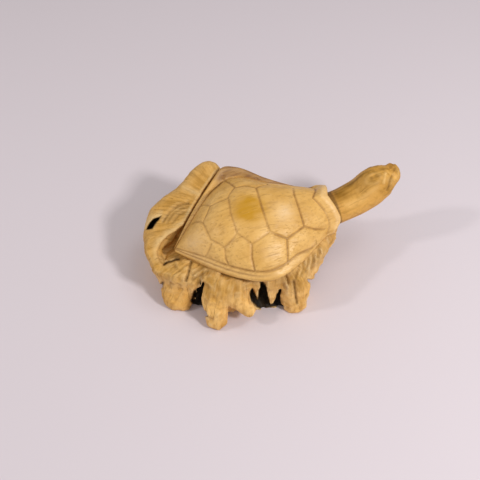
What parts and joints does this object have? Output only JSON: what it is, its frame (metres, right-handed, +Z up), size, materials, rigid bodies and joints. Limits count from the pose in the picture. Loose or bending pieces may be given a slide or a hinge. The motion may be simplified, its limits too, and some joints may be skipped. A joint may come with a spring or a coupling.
{
  "type": "turtle figurine",
  "caption": "Carved wooden sea turtle on a natural root, with an incised domed shell, a raised neck and stump-like root feet to stand on a shelf.",
  "frame": {"origin": "middle of the footprint's box, on the floor under the feet", "axes": "+X towards the head along the shell's midline, +Y to the turtle's left, +Z up"},
  "size_m": [0.15, 0.0918, 0.0554],
  "materials": {
    "root_wood": "waxed",
    "shell_wood": "waxed",
    "neck_wood": "waxed",
    "peg_wood": "bare"
  },
  "bodies": {
    "root": {"root_base": "root_wood", "carapace": "shell_wood", "neck_and_head": "neck_wood", "neck_peg": "peg_wood", "shell_peg_front": "peg_wood", "shell_peg_rear": "peg_wood"}
  },
  "joints": []
}
